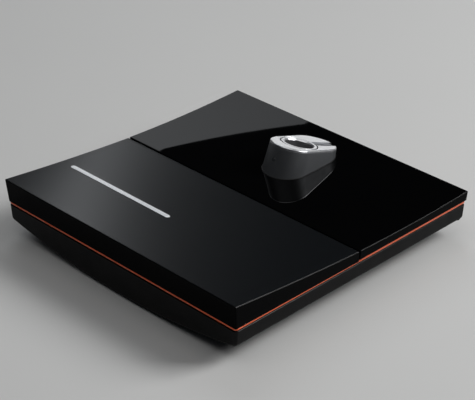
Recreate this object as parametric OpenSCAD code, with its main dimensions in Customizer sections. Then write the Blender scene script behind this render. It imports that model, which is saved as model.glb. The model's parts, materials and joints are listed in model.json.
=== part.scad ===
// Flat square launch monitor that lies on its back, front face up.
// X runs along the lower edge of the unit in use, Y points to its top edge,
// +Z leaves the front face. The origin is at the middle of the surface it
// rests on. Heights inside the modules are counted from the seam between the
// front covers and the rear housing, and lift() brings them to the resting
// surface.

/* [Slab] */
// Side of the square front face
body_w = 300; // [298:1:304]
// Height of the satin cover above the seam at the lower edge
front_z = 23.4; // [22:0.1:25]
// Height of the satin cover above the seam at the divide
mid_z = 10.9; // [10.6:0.1:11.4]
// Hollow of the satin cover's face across its own half
lower_sag = 1.0; // [0:0.1:1.4]
// Height of the gloss cover above the seam at both of its ends
upper_z = 11.2; // [11:0.1:12]
// Hollow of the gloss cover's face
upper_sag = 1.7; // [0:0.1:1.9]
// Inward lean of the cover walls, per unit of height
lean = 0.064; // [0:0.001:0.07]
// Width of the dark joint between the two covers
gap_w = 1.8; // [1.2:0.1:2.4]
// Thickness of the cover faces
cover_t = 2.6; // [2:0.1:2.8]

/* [Rear housing] */
// Depth of the rear belly below the seam
belly_depth = 34.6; // [34:0.1:36]
// Radius of the rear belly, whose axis runs along Y
belly_r = 710; // [650:5:800]
// Wall of the rear housing
wall = 2.6; // [2.2:0.1:3]
// Turn of the top plate's slot from the plate's long axis, in degrees
slot_turn = 11; // [0:1:20]
// Corner radius of the body at the seam
corner_r = 3.2; // [2.6:0.1:5]
// How far the rubber pads stand below the belly
pad_proud = 1; // [0.6:0.1:2]

/* [Camera] */
// Distance of the lens axis from the centre line, at the top plate
lens_y = 82.7; // [81:0.1:84]
// Tilt of the camera axis towards the top edge
cam_tilt = 18; // [16:0.5:18]
// Height of the top plate above the seam at the lens axis
lens_z = 29.7; // [29:0.1:31]
// End radius of the top plate
nose_r = 21.8; // [21.4:0.1:22.4]
// Distance between the two end centres of the top plate
nose_d = 31.4; // [30:0.1:33]
// Thickness of the top plate
plate_t = 1.7; // [1.4:0.1:2]
// Flare of the camera housing, in degrees
nose_flare = 3; // [1:0.5:3]
// Outer radius of the lens ring
ring_r = 17.4; // [17:0.1:18]
// Clear radius inside the lens ring
lens_open_r = 13.8; // [13.2:0.1:14.2]

/* [Stand] */
// Width of the fold-out stand
stand_w = 99.6; // [90:0.2:99.6]
// Distance from the stand's hinge axis to its free end
stand_len = 102; // [90:1:102]
// Radius of the stand's hinge pin
stand_pin_r = 1.5; // [1.2:0.1:1.6]
// Radial running clearance on the pin
pin_play = 0.06; // [0.03:0.01:0.1]

/* [Controls and ports] */
// Distance of the power button from the centre line
button_x = 40; // [36:1:44]
// Radius of the power button
button_r = 6.5; // [6:0.1:6.6]
// Length of the port door
door_len = 62; // [60:1:63]
// Radius of the port door's hinge pin
door_pin_r = 0.6; // [0.5:0.05:0.65]

/* [Mounting] */
// Radius of the tripod thread
thread_r = 3.175; // [3.175, 4.7625]
// Depth of the tripod thread
thread_len = 11; // [8:0.5:11]

/* [Hidden] */
$fn = 96;

hw = body_w / 2;
seam_h = belly_depth + pad_proud;
seam_r = 148.5;            // half width of the body at the seam
lower_rim = 0.4;           // lower edge of the satin cover
upper_rim = 1.5;           // lower edge of the gloss cover
gap_lo = -0.2;             // satin side of the dark joint
gap_hi = gap_lo + gap_w;   // gloss side of the dark joint
frame_top = 0.4;
frame_bot = -1.5;
rabbet = 1.5;              // shadow groove between the band and the housing
rabbet_z = -2.4;
slope = (front_z - mid_z) / hw;
cam_y0 = -8.7;             // near end centre of the top plate, along its tilt
cam_y1 = cam_y0 + nose_d;
hinge_y = -24;
hinge_z = -29.8;
barrel_r = 3;
recess_top = -26.4;
button_z = -11;
door_y = 60;
door_ax = -147.1;
door_az = -15.4;
door_t = 2.4;
board_gap = 6.6;           // satin face down to the top of its antenna board
housing_spots = [[134, 110], [134, 0], [134, -110], [-134, 110], [-134, 0],
  [-134, -110], [70, 138.5], [-70, 138.5], [70, -138.5], [-70, -138.5]];
cover_spots = [[134, 138], [134, 75], [134, 18], [-134, 138], [-134, 75],
  [-134, 18], [0, 18], [70, 18], [-70, 18], [134, -138], [134, -75],
  [134, -16], [-134, -138], [-134, -75], [-134, -16], [0, -138], [0, -9]];
board_spots = [[-92, 22], [-92, 122], [92, 22], [92, 122], [0, 22], [0, 123]];
spacer_spots = [[-116, 26], [-116, 76], [-116, 126], [116, 26], [116, 76],
  [116, 126]];
camera_spots = [[0, 52], [-12, 112], [12, 112]];

function lower_face(y) = let (t = (y + hw) / hw)
  front_z + (mid_z - front_z) * t - 4 * lower_sag * t * (1 - t);
function upper_face(y) = let (t = y / hw)
  upper_z - 4 * upper_sag * t * (1 - t);
function belly(x) = -belly_depth + belly_r - sqrt(belly_r * belly_r - x * x);
function board_top(y) = mid_z - slope * y - board_gap;

module lift() translate([0, 0, seam_h]) children();
// Lays a Y-Z outline down and sweeps it along X, centred
module along_x(w) rotate([90, 0, 90]) translate([0, 0, -w / 2])
  linear_extrude(w) children();
// Lays an X-Z outline down and sweeps it along Y, centred
module along_y(l) rotate([90, 0, 0]) translate([0, 0, -l / 2])
  linear_extrude(l) children();
module soft_square(w, r) {
  square([w - 2 * r, w], center = true);
  square([w, w - 2 * r], center = true);
  for (x = [-1, 1], y = [-1, 1])
    translate([x * (w / 2 - r), y * (w / 2 - r)]) circle(r);
}
// Round-ended slot along Y
module obround(r, d) {
  square([2 * r, d], center = true);
  for (s = [-1, 1]) translate([0, s * d / 2]) circle(r);
}
module at(spots) for (p = spots) translate([p[0], p[1], 0]) children();
module bar(x0, x1, y0, y1, z0, z1)
  translate([x0, y0, z0]) cube([x1 - x0, y1 - y0, z1 - z0]);
module post(r, z0, z1) translate([0, 0, z0]) cylinder(r = r, h = z1 - z0);
// The camera's own frame: origin on the top plate at the lens axis
module camera_frame() translate([0, lens_y, lens_z])
  rotate([-cam_tilt, 0, 0]) children();
// Region under the gloss face, d above it
module under_upper(d, z0 = -20) along_x(80) polygon(concat(
  [[gap_hi, z0], [hw, z0]],
  [for (i = [24:-1:0]) let (y = gap_hi + (hw - gap_hi) * i / 24)
    [y, upper_face(y) + d]]));

// ---- front covers ----
module lower_outer() along_x(body_w) polygon(concat(
  [[-hw + lean * (front_z - lower_rim), lower_rim], [gap_lo, lower_rim]],
  [for (i = [24:-1:0]) let (y = -hw + (hw + gap_lo) * i / 24)
    [y, lower_face(y)]]));
module lower_inner() along_x(2 * (seam_r - 2.6)) polygon(concat(
  [[-seam_r + 2.6, -5], [gap_lo - 2.6, -5]],
  [for (i = [24:-1:0]) let (y = -seam_r + 2.6 + (seam_r - 5.2 + gap_lo) * i / 24)
    [y, lower_face(y) - cover_t]]));
module side_cut(z, yaw) for (m = [0, 1]) mirror([m, 0, 0])
  translate([hw, 0, z]) rotate([0, atan(lean), yaw])
    translate([0, -200, -80]) cube([20, 400, 160]);
module badge_outline(g) translate([-68.5, -83])
  rotate([0, 0, 90]) obround(2.6 + g, 129);

module lower_cover() color("#41464c") lift() {
  difference() {
    intersection() {
      lower_outer();
      translate([0, 0, -10]) linear_extrude(60) soft_square(body_w, 0.8);
    }
    side_cut(mid_z, -atan(lean * slope));
    lower_inner();
    difference() {
      translate([0, 0, -10]) linear_extrude(60) badge_outline(0.1);
      along_x(body_w) polygon(concat([[-120, -20], [-40, -20]],
        [for (i = [16:-1:0]) let (y = -120 + 5 * i) [y, lower_face(y) - 1]]));
    }
  }
  for (p = cover_spots) if (p[1] < 0) difference() {
    translate([p[0], p[1], 0]) post(3.6, frame_top, lower_face(p[1]) - cover_t + 0.4);
    translate([p[0], p[1], 0]) post(1.2, -1, 9);
  }
}

module upper_cover() color("#08090a") lift() {
  difference() {
    intersection() {
      along_x(body_w) polygon(concat(
        [[gap_hi, upper_rim], [hw - lean * (upper_z - upper_rim), upper_rim]],
        [for (i = [24:-1:0]) let (y = gap_hi + (hw - gap_hi) * i / 24)
          [y, upper_face(y)]]));
      translate([0, 0, -10]) linear_extrude(60) soft_square(body_w, 0.8);
    }
    side_cut(upper_z, 0);
    along_x(2 * (seam_r - 2.6)) polygon(concat(
      [[gap_hi + 2.6, -5], [seam_r - 2.6, -5]],
      [for (i = [24:-1:0]) let (y = gap_hi + 2.6 + (seam_r - 5.2 - gap_hi) * i / 24)
        [y, upper_face(y) - cover_t]]));
    camera_frame() post(17, -60, 10);
    at(camera_spots) post(1.6, -5, 30);
  }
  for (p = cover_spots) if (p[1] > 0) difference() {
    translate([p[0], p[1], 0]) post(3.6, frame_top, upper_face(p[1]) - cover_t + 0.4);
    translate([p[0], p[1], 0]) post(1.2, -1, 5.5);
  }
}

module divider_strip() color("#050505") lift()
  bar(-148.3, 148.3, gap_lo, gap_hi, frame_top, 9.2);

module badge_bar() color("#b9bcc0") lift() intersection() {
  translate([0, 0, -10]) linear_extrude(60) badge_outline(0);
  along_x(body_w) polygon(concat(
    [for (i = [0:16]) let (y = -120 + 5 * i) [y, lower_face(y) - 1]],
    [for (i = [16:-1:0]) let (y = -120 + 5 * i) [y, lower_face(y) + 0.3]]));
}

module accent_band() color("#e0743c") lift() difference() {
  union() {
    translate([0, 0, frame_bot]) linear_extrude(lower_rim - frame_bot)
      soft_square(2 * seam_r, corner_r);
    intersection() {
      translate([0, 0, -1]) linear_extrude(upper_rim + 1) soft_square(2 * seam_r, corner_r);
      bar(-160, 160, gap_hi, 160, -1, 5);
    }
    translate([0, 0, -2.9]) linear_extrude(2) soft_square(290.2, 4.5);
  }
  translate([0, 0, -6]) linear_extrude(20) soft_square(286.8, 1);
}

// ---- camera ----
module nose_hull(g, top, deep) hull() for (c = [cam_y0, cam_y1])
  translate([0, c, top - deep])
    cylinder(r1 = nose_r + g - (top - deep) * tan(nose_flare),
      r2 = nose_r + g - top * tan(nose_flare), h = deep, $fn = 72);

module camera_housing() color("#4a4d50") lift() difference() {
  union() {
    difference() {
      camera_frame() {
        nose_hull(0, -plate_t - 0.3, 50);
        translate([0, (cam_y0 + cam_y1) / 2, -3]) linear_extrude(3 - plate_t)
          obround(nose_r - 1.2, nose_d);
      }
      difference() {
        camera_frame() nose_hull(-2.4, -5.6, 50);
        camera_frame() post(18.4, -60, 0);
        at(camera_spots) post(3.6, 0, 60);
      }
    }
  }
  under_upper(0, -60);
  camera_frame() {
    post(16, -60, 5);
    post(ring_r + 1.1, -4.4, 5);
  }
  for (p = camera_spots) translate([p[0], p[1], 0]) post(1.3, 0, p[1] < 60 ? 20 : 14);
  camera_frame() translate([0, -30, -14.5]) rotate([90, 0, 0]) cylinder(r = 1.6, h = 14, center = true);
}

module camera_top_plate() color("#c9cbce") lift() camera_frame() difference() {
  translate([0, (cam_y0 + cam_y1) / 2, -plate_t]) linear_extrude(plate_t) obround(nose_r, nose_d);
  post(ring_r + 1.1, -5, 5);
  rotate([0, 0, -slot_turn]) bar(-5.2, 5.2, 16, 60, -3, 3);
}

module camera_gasket() color("#1a1b1c") lift() difference() {
  intersection() {
    camera_frame() nose_hull(0.7, -2, 51);
    difference() { under_upper(0.7); under_upper(0); }
  }
  camera_frame() nose_hull(0.05, -1, 53);
}

module camera_set_screw() color("#8a8d90") lift() camera_frame()
  translate([0, -31.1, -14.5]) rotate([-90, 0, 0]) difference() {
    cylinder(r = 1.55, h = 5);
    translate([0, 0, -1]) cylinder(r = 0.75, h = 2.4, $fn = 6);
  }

module camera_screws() color("#9a9da0") lift() for (p = camera_spots) {
  z = upper_face(p[1]) - cover_t;
  translate([p[0], p[1], 0]) difference() {
    union() {
      post(2.6, z - 1.6, z - 0.1);
      post(1.25, z - 0.5, p[1] < 60 ? 18 : 13);
    }
    translate([0, 0, z - 2]) cylinder(r = 1, h = 1.2, $fn = 6);
  }
}

module lens_ring() color("#d4d6d8") lift() camera_frame() rotate_extrude()
  polygon([[lens_open_r + 1.1, 0], [ring_r - 0.5, 0], [ring_r, -0.5],
    [ring_r, -4.3], [15.6, -4.3], [15.6, -9.5], [lens_open_r, -9.5],
    [lens_open_r, -1.2]]);

module lens_barrel() color("#1b1c1e") lift() camera_frame() rotate_extrude()
  polygon([[13.2, -9.7], [15.8, -9.7], [15.8, -29.2], [9.2, -29.2],
    [9.2, -20], [10.6, -20], [10.6, -14.4], [13.2, -14.4]]);

module front_lens() color("#182028", 0.6) lift() camera_frame() intersection() {
  translate([0, 0, -14.4]) cylinder(r = 13.1, h = 6);
  translate([0, 0, -37.2]) sphere(r = 26.6, $fn = 180);
}

module rear_lens() color("#182028", 0.6) lift() camera_frame() intersection() {
  translate([0, 0, -25]) cylinder(r = 9.1, h = 6);
  translate([0, 0, -38]) sphere(r = 18, $fn = 180);
}

module camera_board() color("#1f5a34") lift() camera_frame() {
  bar(-16, 16, -15.6, 16, -30.8, -29.2);
  bar(-6.5, 6.5, -5.5, 5.5, -29.3, -28.2);
}

module camera_ribbon() color("#c08a3a") lift()
  bar(-6, 6, 87, 87.5, -8.4, -5);

// ---- middle frame and radar boards ----
module mid_frame() color("#9c9fa2") lift() difference() {
  translate([0, 0, frame_bot]) linear_extrude(frame_top - frame_bot) soft_square(286.4, 1.6);
  bar(-20, 20, 57, 100, -5, 5);
  for (s = [-1, 1]) bar(s < 0 ? -112 : 18, s < 0 ? -18 : 112, -120, -30, -5, 5);
  bar(-94, -62, 26, 32, -5, 5);
  at(cover_spots) post(1.5, -5, 5);
  at(housing_spots) post(1.5, -5, 5);
}

module lower_antenna_bracket() color("#8e9194") lift() difference() {
  along_x(248) polygon([[-134, frame_top], [-18, frame_top],
    [-18, board_top(-18) - 1.6], [-134, board_top(-134) - 1.6]]);
  for (s = [-1, 1]) bar(s < 0 ? -119 : 4, s < 0 ? -4 : 119, -129, -23, -5, 30);
}

module lower_antenna_board() color("#1d6b45") lift()
  along_x(248) polygon([[-134, board_top(-134) - 1.6], [-18, board_top(-18) - 1.6],
    [-18, board_top(-18)], [-134, board_top(-134)]]);

module lower_antenna_patches() color("#c98b4b") lift()
  for (i = [0:9], j = [0:3]) let (x = -108 + 24 * i, y = -124 + 28 * j)
    translate([x, 0, 0]) along_x(15) polygon([[y, board_top(y) + 0.01],
      [y + 15, board_top(y + 15) + 0.01], [y + 15, board_top(y + 15) + 0.2],
      [y, board_top(y) + 0.2]]);

module lower_shield() color("#aeb1b4") lift() for (s = [-1, 1])
  translate([s * 60, 0, 0]) along_x(80) polygon([[-124, 4], [-82, 4],
    [-82, board_top(-82) - 1.6], [-124, board_top(-124) - 1.6]]);

module lower_ribbon() color("#c08a3a") lift() translate([75, 0, 0])
  along_x(24) polygon([[-34, board_top(-34) - 1.6], [-34, -5], [23, -5],
    [23, -6.6], [23.5, -6.6], [23.5, -4.5], [-33.5, -4.5],
    [-33.5, board_top(-33.5) - 1.6]]);

module upper_antenna_board() color("#1d6b45") lift() difference() {
  bar(-124, 124, 21, 133, 3.4, 5);
  translate([0, 82, 0]) linear_extrude(10) obround(26, 40);
  at([[0, 18], [70, 18], [-70, 18]]) post(4.6, 0, 10);
  at(spacer_spots) post(1.3, 0, 10);
}

module upper_antenna_patches() color("#c98b4b") lift()
  for (i = [0:2], j = [0:2], s = [-1, 1])
    translate([s * (47 + 22 * i) - 7, 36 + 32 * j, 5]) cube([14, 15, 0.2]);

module upper_board_spacers() color("#b6b8ba") lift() at(spacer_spots)
  difference() { post(3, frame_top, 3.4); post(1.3, -1, 5); }

module upper_shields() color("#aeb1b4") lift() for (s = [-1, 1])
  translate([s * 70, 0, 0]) difference() {
    bar(-26, 26, 52, 102, 0.9, 3.4);
    bar(-25.6, 25.6, 52.4, 101.6, 1.3, 4);
  }

module upper_ribbon() color("#c08a3a") lift()
  bar(-90, -66, 28, 28.5, -8.4, 3.4);

module antenna_screws() color("#9a9da0") lift() at(spacer_spots)
  difference() {
    union() { post(2.3, 5, 6.3); post(1.2, frame_top, 5.2); }
    translate([0, 0, 5.6]) cylinder(r = 0.9, h = 2, $fn = 6);
  }

module absorber_strip() color("#26282a") lift()
  bar(-62, -8, -14, -6, frame_top, 6);

module wifi_antenna() color("#1d6b45") lift() {
  bar(24, 84, 135, 141.5, frame_top, 1.4);
  bar(28, 56, 137, 139, 1.4, 1.6);
  bar(62, 80, 136.5, 139.5, 1.4, 1.6);
}

// ---- main board and power ----
module main_board() color("#1f5a34") lift() {
  difference() {
    bar(-100, 100, 14, 130, -10, -8.4);
    at(board_spots) post(1.6, -12, 0);
  }
  bar(61, 88.5, 19, 25.5, -8.4, -6.6);
  bar(-92, -64, 29.5, 34, -8.4, -6.6);
  bar(-9, 9, 89, 94, -8.4, -6.9);
  for (i = [0:5]) bar(-36 + 13 * i, -28 + 13 * i, 104, 112, -8.4, -7.4);
}

module board_screws() color("#9a9da0") lift() at(board_spots) difference() {
  union() { post(3, -8.4, -6.6); post(1.3, -17, -8.3); }
  translate([0, 0, -7.6]) cylinder(r = 1.1, h = 2, $fn = 6);
}

module board_shields() color("#aeb1b4") lift() for (x = [-70, 30]) difference() {
  bar(x, x + 42, 42, 88, -8.4, -5.6);
  bar(x + 0.4, x + 41.6, 42.4, 87.6, -9, -6);
}

module thermal_pad() color("#7d8fa8") lift() bar(-30, 30, 72, 112, -11.4, -10);

module heat_sink() color("#a7aaad") lift() {
  bar(-42, 42, 66, 118, -14, -11.4);
  for (i = [0:10]) bar(-42 + 8.2 * i, -40 + 8.2 * i, 66, 118, -24, -14);
}

module battery_pack() color("#1f3f7a") lift() {
  for (i = [0:7]) translate([-66.5 + 19 * i, -110, -14]) rotate([-90, 0, 0])
    cylinder(r = 9, h = 65);
  bar(-66.5, 66.5, -110, -45, -23, -22);
  bar(-66.5, 66.5, -110, -45, -6, -5);
  bar(-34, -20, -45, -40, -11, -5);
}

module battery_pad() color("#303234") lift() bar(-52, 52, -108, -48, -24, -23);

module battery_bracket() color("#8e9194") lift() difference() {
  translate([0, -78, 0]) along_y(40) polygon([[-90, -13.6], [-76.6, -13.6],
    [-76.6, -3.8], [76.6, -3.8], [76.6, -13.6], [90, -13.6], [90, -14.8],
    [75.6, -14.8], [75.6, -5], [-75.6, -5], [-75.6, -14.8], [-90, -14.8]]);
  at([[-84, -78], [84, -78]]) post(1.7, -20, 0);
}

module bracket_screws() color("#9a9da0") lift() at([[-84, -78], [84, -78]])
  difference() {
    union() { post(3, -13.6, -11.8); post(1.4, -21, -13.5); }
    translate([0, 0, -12.8]) cylinder(r = 1.1, h = 2, $fn = 6);
  }

module battery_lead() color("#a02020") lift() {
  for (x = [-30, -24]) translate([x, -40, -7]) rotate([-90, 0, 0])
    cylinder(r = 1.3, h = 56);
  bar(-34, -20, 16, 24, -8.4, -5);
}

// ---- rear housing ----
module shell_xz(inset, top) {
  e = seam_r - inset;
  g = inset > 0 ? 0 : rabbet;
  z = inset > 0 ? top - 0.1 : rabbet_z;
  polygon(concat(
    [[-e + g, top], [-e + g, z], [-e, z - 0.01], [-e + 1.3, -17.2 + inset / 2]],
    [for (i = [0:48]) let (x = (e - 3.2) * (i / 24 - 1)) [x, belly(x) + inset]],
    [[e - 1.3, -17.2 + inset / 2], [e, z - 0.01], [e - g, z], [e - g, top]]));
}
module shell_yz(inset, top) {
  e = seam_r - inset;
  g = inset > 0 ? 0 : rabbet;
  z = inset > 0 ? top - 0.1 : rabbet_z;
  polygon([[-e + g, top], [-e + g, z], [-e, z - 0.01], [-e + 1.6, -38],
    [e - 1.6, -38], [e, z - 0.01], [e - g, z], [e - g, top]]);
}
module belly_solid(inset, top) intersection() {
  along_y(400) shell_xz(inset, top);
  along_x(400) shell_yz(inset, top);
  translate([0, 0, -45]) linear_extrude(60) soft_square(2 * (seam_r - inset), corner_r);
}
module recess() {
  bar(-50.1, 50.1, -127.2, -20.4, -40, recess_top);
  intersection() {
    bar(-14, 14, -137, -126, -40, -29);
    translate([0, -127, -37]) rotate([0, 90, 0]) cylinder(r = 10, h = 28, center = true);
  }
}
module recess_tub() {
  bar(-52.7, 52.7, -129.8, -17.8, -36, recess_top + 2.4);
  bar(-17, 17, -139.6, -129, -36, -25);
  for (s = [-1, 1]) translate([s * 54.5, hinge_y, hinge_z]) rotate([0, 90, 0])
    cylinder(r = 5, h = 5, center = true);
}

module rear_housing() color("#17181a") lift() difference() {
  union() {
    difference() { belly_solid(0, frame_bot); belly_solid(wall, 5); }
    intersection() {
      belly_solid(0, frame_bot);
      union() {
        recess_tub();
        at(housing_spots) post(4.5, -40, frame_bot);
        at(board_spots) post(4, -40, -10);
        at([[-84, -78], [84, -78]]) post(4, -40, -14.8);
        at([[-122, 32], [-122, 88]]) post(3, -40, -16.4);
        translate([0, 40, 0]) post(10, -40, -20);
        bar(-160, -142.6, 21, 99, -18.6, -3);
        bar(26, 54, 134, 136, -33, -3.4);
      }
    }
  }
  recess();
  translate([0, hinge_y, hinge_z]) rotate([0, 90, 0])
    cylinder(r = stand_pin_r, h = 110, center = true);
  for (p = housing_spots) translate([p[0], p[1], 0]) {
    post(1.6, -40, 0);
    post(3.1, -40, belly(p[0]) + 3.6);
  }
  at(board_spots) post(1.32, -18, 0);
  at([[-84, -78], [84, -78]]) post(1.42, -22, 0);
  translate([0, 40, 0]) post(5.5, -40, -22.2);
  // Port bay: a pocket for the door and a smaller window behind it
  bar(-160, -145.6, door_y - door_len / 2 - 0.4, door_y + door_len / 2 + 0.4,
    door_az - door_t / 2 - 0.4, -4);
  bar(-160, -130, door_y - 27, door_y + 27, -14.6, -4.8);
  translate([door_ax, door_y, door_az]) rotate([90, 0, 0])
    cylinder(r = door_pin_r, h = door_len + 8, center = true);
  // Button and vent
  translate([button_x, 150, button_z]) rotate([90, 0, 0]) cylinder(r = 8, h = 8);
  translate([-40, 150, -14]) rotate([90, 0, 0]) cylinder(r = 5, h = 8);
}

module tripod_insert() color("#b08d4a") lift() translate([0, 40, 0]) difference() {
  post(5.5, -34.4, -22.2);
  post(thread_r, -36, -34.4 + thread_len);
}

module rear_pads() color("#101010") lift() for (s = [-1, 1], t = [-1, 1])
  translate([s * 66, t * 112, 0]) difference() {
    translate([0, 0, -seam_h]) linear_extrude(6) obround(6, 20);
    translate([-s * 66, 0, 0]) along_y(80) polygon(concat([[-100, 0]],
      [for (i = [0:48]) let (x = (seam_r - 3.2) * (i / 24 - 1)) [x, belly(x)]], [[100, 0]]));
  }

module housing_screws() color("#8f9295") lift() for (p = housing_spots) {
  z = belly(p[0]) + 3.6;
  translate([p[0], p[1], 0]) difference() {
    union() { post(2.8, z - 2, z); post(1.4, z - 0.1, frame_top); }
    translate([0, 0, z - 2.1]) cylinder(r = 1.4, h = 1.5, $fn = 6);
  }
}

module cover_screws() color("#9a9da0") lift() at(cover_spots) difference() {
  union() { post(2.5, frame_bot - 1.6, frame_bot); post(1.15, frame_bot - 0.1, 5); }
  translate([0, 0, frame_bot - 1.7]) cylinder(r = 0.9, h = 1.1, $fn = 6);
}

// ---- stand ----
module stand_leg() color("#1b1c1e") lift() difference() {
  union() {
    intersection() {
      along_y(400) polygon(concat([[-stand_w / 2, -27]],
        [for (i = [0:20]) let (x = stand_w * (i / 20 - 0.5)) [x, belly(x) + 0.3]],
        [[stand_w / 2, -27]]));
      bar(-80, 80, hinge_y - stand_len + 6, hinge_y - 1.5, -40, -20);
    }
    translate([0, hinge_y, hinge_z]) rotate([0, 90, 0])
      cylinder(r = barrel_r, h = stand_w, center = true);
  }
  for (x = [-46, -14.5, 17]) bar(x, x + 29, hinge_y - 90, hinge_y - 10, -31, -20);
  // Clears the belly side of the barrel so the leg can swing
  bar(-80, 80, hinge_y - 2.9, hinge_y - 1, -40, hinge_z - 2.3);
  translate([0, hinge_y, hinge_z]) rotate([0, 90, 0])
    cylinder(r = stand_pin_r + pin_play, h = 120, center = true);
  // Groove that locks the rubber foot
  bar(-40, 40, hinge_y - stand_len + 5, hinge_y - stand_len + 8, -31.5, -29.5);
}

module stand_foot() color("#0c0c0c") lift() {
  bar(-44, 44, hinge_y - stand_len, hinge_y - stand_len + 6, -33.2, -27.2);
  bar(-40, 40, hinge_y - stand_len + 5, hinge_y - stand_len + 8, -31.5, -29.5);
}

module stand_pin() color("#a5a8ab") lift() translate([0, hinge_y, hinge_z])
  rotate([0, 90, 0]) cylinder(r = stand_pin_r, h = 110, center = true);

// ---- ports and controls ----
module port_board() color("#1f5a34") lift() {
  difference() {
    bar(-142.4, -112, 27, 93, -16.4, -14.8);
    at([[-122, 32], [-122, 88]]) post(1.3, -20, 0);
  }
}
module power_socket() color("#101112") lift() difference() {
  bar(-142.3, -129, 36, 46, -14.8, -5);
  translate([-150, 41, -9.9]) rotate([0, 90, 0]) cylinder(r = 2.8, h = 18);
}
module data_socket() color("#8a8d90") lift() difference() {
  bar(-142.3, -123, 50, 66, -14.8, -4.9);
  bar(-150, -128, 52, 64, -13.2, -6.4);
}
module usb_socket() color("#a5a8ab") lift() difference() {
  bar(-142.3, -134, 72, 81, -14.8, -11.6);
  bar(-150, -135.5, 72.5, 80.5, -14.3, -12.1);
}
module port_ribbon() color("#c08a3a") lift() translate([0, 60, 0])
  along_y(20) polygon([[-120, -14.8], [-112, -14.8], [-98, -10.5], [-94, -10.5],
    [-94, -10], [-98.2, -10], [-112.2, -14.3], [-120, -14.3]]);

module port_door() color("#17181a") lift() difference() {
  union() {
    bar(door_ax - door_t / 2, door_ax + door_t / 2, door_y - door_len / 2,
      door_y + door_len / 2, door_az, -4.4);
    translate([door_ax, door_y, door_az]) rotate([90, 0, 0])
      cylinder(r = door_t / 2, h = door_len, center = true);
  }
  translate([door_ax, door_y, door_az]) rotate([90, 0, 0])
    cylinder(r = door_pin_r + 0.05, h = 90, center = true);
  translate([door_ax - door_t / 2, door_y, -4.4]) rotate([90, 0, 0])
    cylinder(r = 1, h = 16, center = true);
}
module door_pin() color("#a5a8ab") lift() translate([door_ax, door_y, door_az])
  rotate([90, 0, 0]) cylinder(r = door_pin_r, h = door_len + 8, center = true);

module light_ring() color("#dfe6ea", 0.7) lift() translate([button_x, 0, button_z])
  rotate([-90, 0, 0]) difference() {
    translate([0, 0, 145]) cylinder(r = 8, h = 2.9);
    translate([0, 0, 140]) cylinder(r = button_r + 0.4, h = 20);
  }
module power_button() color("#2a2c2e") lift() translate([button_x, 0, button_z])
  rotate([-90, 0, 0]) {
    translate([0, 0, 142]) cylinder(r = button_r, h = 6);
    translate([0, 0, 141.8]) cylinder(r = 7.6, h = 1.4);
    translate([0, 0, 140.9]) cylinder(r = 1.6, h = 1.2);
  }
module button_board() color("#1f5a34") lift() {
  bar(28, 52, 136, 137.4, -21, -3.4);
  bar(37, 43, 137.4, 139.8, -14, -8);
}
module button_ribbon() color("#c08a3a") lift() translate([button_x + 2, 0, 0]) {
  along_x(10) polygon([[126, -8.4], [126, -2.8], [137.4, -2.8], [137.4, -6],
    [137.9, -6], [137.9, -2.3], [125.5, -2.3], [125.5, -8.4]]);
}
module vent_plug() color("#202224") lift() translate([-40, 0, -14])
  rotate([-90, 0, 0]) difference() {
    translate([0, 0, 145]) cylinder(r = 5, h = 3);
    for (a = [0:60:300]) rotate([0, 0, a]) translate([2.6, 0, 147]) cylinder(r = 0.5, h = 4);
  }

rear_housing();
accent_band();
lower_cover();
upper_cover();
divider_strip();
badge_bar();
camera_housing();
camera_top_plate();
camera_gasket();
camera_set_screw();
camera_screws();
lens_ring();
lens_barrel();
front_lens();
rear_lens();
camera_board();
camera_ribbon();
mid_frame();
lower_antenna_bracket();
lower_antenna_board();
lower_antenna_patches();
lower_shield();
lower_ribbon();
upper_antenna_board();
upper_antenna_patches();
upper_board_spacers();
upper_shields();
upper_ribbon();
antenna_screws();
absorber_strip();
wifi_antenna();
main_board();
board_screws();
board_shields();
thermal_pad();
heat_sink();
battery_pack();
battery_pad();
battery_bracket();
bracket_screws();
battery_lead();
port_board();
power_socket();
data_socket();
usb_socket();
port_ribbon();
port_door();
door_pin();
power_button();
light_ring();
button_board();
button_ribbon();
vent_plug();
tripod_insert();
rear_pads();
stand_leg();
stand_foot();
stand_pin();
cover_screws();
housing_screws();
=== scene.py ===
import json
import math

import bmesh
import bpy
from mathutils import Matrix, Quaternion, Vector


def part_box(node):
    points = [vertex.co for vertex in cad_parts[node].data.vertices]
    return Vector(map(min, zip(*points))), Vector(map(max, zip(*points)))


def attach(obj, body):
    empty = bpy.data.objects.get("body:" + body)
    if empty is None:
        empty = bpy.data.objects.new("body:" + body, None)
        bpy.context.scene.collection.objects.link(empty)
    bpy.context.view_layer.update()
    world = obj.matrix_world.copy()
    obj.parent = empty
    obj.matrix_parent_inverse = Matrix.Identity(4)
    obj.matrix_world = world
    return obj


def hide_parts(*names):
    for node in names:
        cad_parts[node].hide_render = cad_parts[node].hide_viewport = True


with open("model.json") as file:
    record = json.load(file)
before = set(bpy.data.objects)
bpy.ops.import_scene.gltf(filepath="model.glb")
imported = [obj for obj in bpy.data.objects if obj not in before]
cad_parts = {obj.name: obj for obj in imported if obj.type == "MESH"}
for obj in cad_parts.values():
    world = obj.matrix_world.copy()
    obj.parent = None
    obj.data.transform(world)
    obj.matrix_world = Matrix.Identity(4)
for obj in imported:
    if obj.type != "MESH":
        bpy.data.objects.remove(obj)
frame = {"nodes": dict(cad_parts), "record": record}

scene = bpy.context.scene
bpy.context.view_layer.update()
MM = 0.001

# ---------------------------------------------------------------- places taken from the frame
def box_mm(node):
    lo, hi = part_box(node)
    return [v / MM for v in lo], [v / MM for v in hi]

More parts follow.
